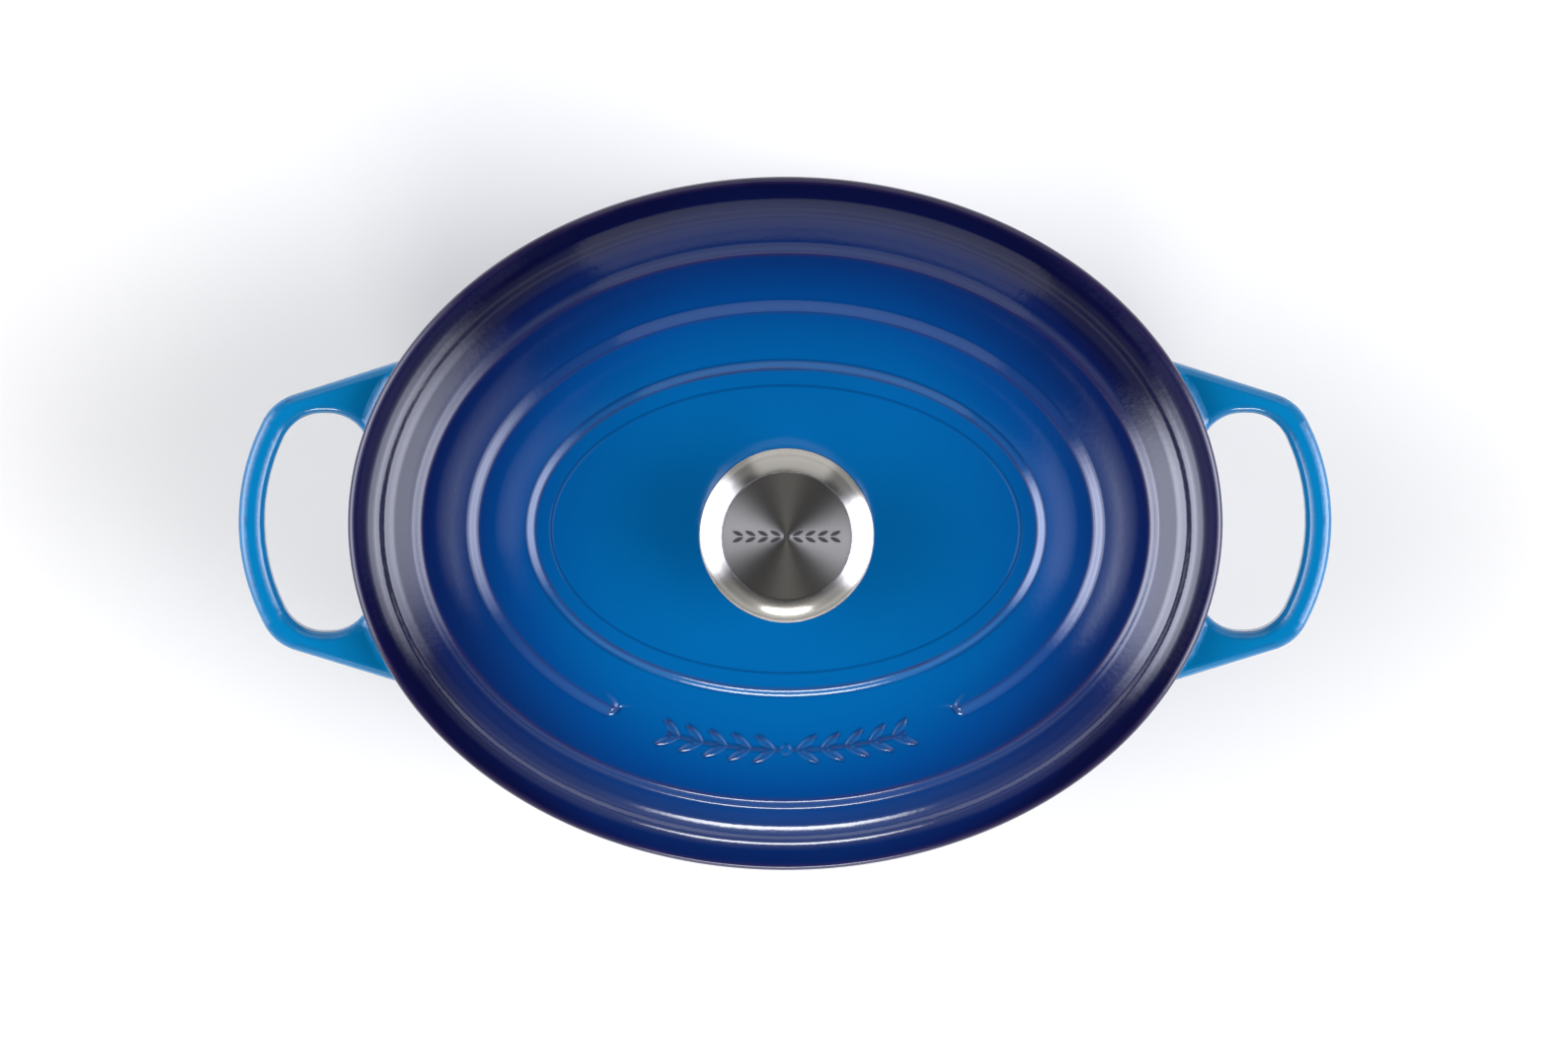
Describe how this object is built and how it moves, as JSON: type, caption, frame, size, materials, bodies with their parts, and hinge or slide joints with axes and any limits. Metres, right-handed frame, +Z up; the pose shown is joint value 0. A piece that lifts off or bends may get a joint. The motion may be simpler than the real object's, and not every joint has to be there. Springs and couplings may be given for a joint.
{
  "type": "oval dutch oven",
  "caption": "Oval enamelled cast iron cooking pot with loop handles at its ends and a stepped lid that lifts off by a round stainless steel knob.",
  "frame": {"origin": "centre of the foot's underside, midway between the handles", "axes": "+X along the oval's length through both handles, +Y to the back, +Z up; the lid's panel is at the front, -Y"},
  "size_m": [0.3702, 0.234, 0.1654],
  "materials": {
    "pot_enamel": "gloss vitreous enamel, graded from bright to deep blue",
    "lid_enamel": "gloss vitreous enamel, graded from bright to deep blue",
    "knob_steel": "spun face, polished bevel",
    "fastener_steel": "plain turned steel"
  },
  "bodies": {
    "pot": {"pot": "pot_enamel"},
    "lid": {"lid": "lid_enamel", "knob_cap": "knob_steel", "knob_body": "knob_steel", "knob_insert": "fastener_steel", "knob_screw": "fastener_steel", "flat_washer": "fastener_steel", "spring_washer": "fastener_steel"}
  },
  "joints": [
    {"name": "lid_lift", "type": "slide", "parent": "pot", "child": "lid", "axis": [0, 0, 1], "range_m": [0, 0.2]}
  ]
}
